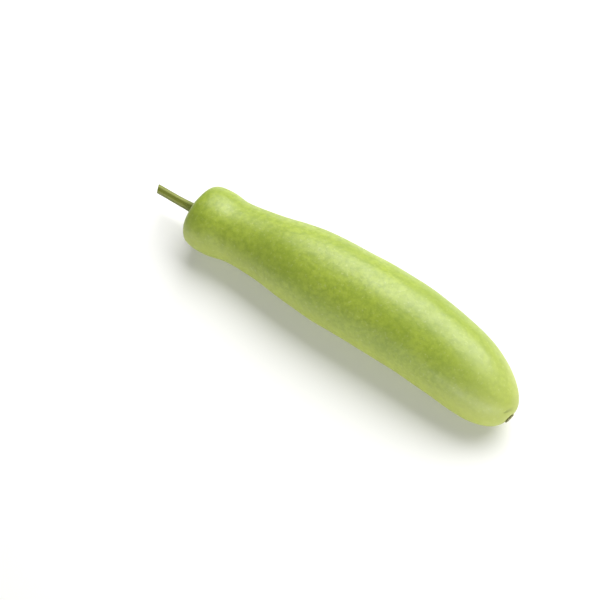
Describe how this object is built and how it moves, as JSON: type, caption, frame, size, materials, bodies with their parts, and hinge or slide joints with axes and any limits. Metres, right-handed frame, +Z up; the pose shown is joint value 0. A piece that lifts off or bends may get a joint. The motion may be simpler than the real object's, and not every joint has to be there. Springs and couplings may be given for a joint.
{
  "type": "bottle gourd",
  "caption": "Long, club-shaped green bottle gourd as picked, slightly bent, with a cut ridged stem and a dry blossom scar, lying on its side.",
  "frame": {"origin": "on the surface that the gourd lies on, under the middle of its box", "axes": "+Z up, +X along the gourd from the stem to the blossom end"},
  "size_m": [0.4022, 0.085, 0.0811],
  "materials": {
    "skin": "satin",
    "stem": "matte",
    "scar": "matte"
  },
  "bodies": {
    "root": {"fruit": "skin", "stem": "stem", "blossom_scar": "scar"}
  },
  "joints": []
}
